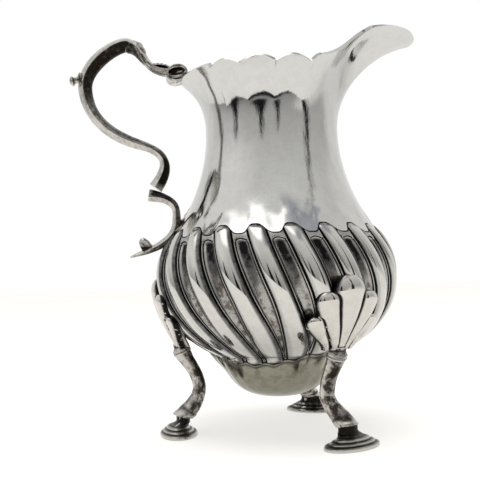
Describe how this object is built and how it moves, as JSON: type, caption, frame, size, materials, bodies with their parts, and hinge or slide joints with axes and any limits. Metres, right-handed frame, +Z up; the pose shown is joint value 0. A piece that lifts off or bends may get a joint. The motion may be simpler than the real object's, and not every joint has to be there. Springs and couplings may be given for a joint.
{
  "type": "silver cream jug",
  "caption": "Pear-shaped silver cream jug with a spiral-fluted belly, a wavy flared rim, a long pulled lip, a double-scroll handle and shell-topped legs on pad feet.",
  "frame": {"origin": "on the table, under the middle of the jug's overall length in X and width in Y", "axes": "+Z up, +X towards the pouring lip, -X towards the handle"},
  "size_m": [0.0966, 0.0658, 0.1102],
  "materials": {
    "pale_silver": "polished raised silver, lightly scratched and dented",
    "silver": "polished chased silver with dark oxide in the grooves",
    "dark_silver": "cast silver with brown-black patina and bright worn edges"
  },
  "bodies": {
    "root": {"neck_and_lip": "pale_silver", "fluted_belly": "silver", "base_bowl": "silver", "handle_upper_scroll": "dark_silver", "handle_lower_scroll": "dark_silver", "handle_thumb_leaf": "dark_silver", "handle_spur": "dark_silver", "handle_rim_leaf": "dark_silver", "handle_rim_mount": "dark_silver", "handle_tail_curl": "dark_silver", "handle_belly_plate": "silver", "rear_shell": "silver", "rear_leg": "dark_silver", "rear_foot": "dark_silver", "near_shell": "silver", "near_leg": "dark_silver", "near_foot": "dark_silver", "far_shell": "silver", "far_leg": "dark_silver", "far_foot": "dark_silver"}
  },
  "joints": []
}
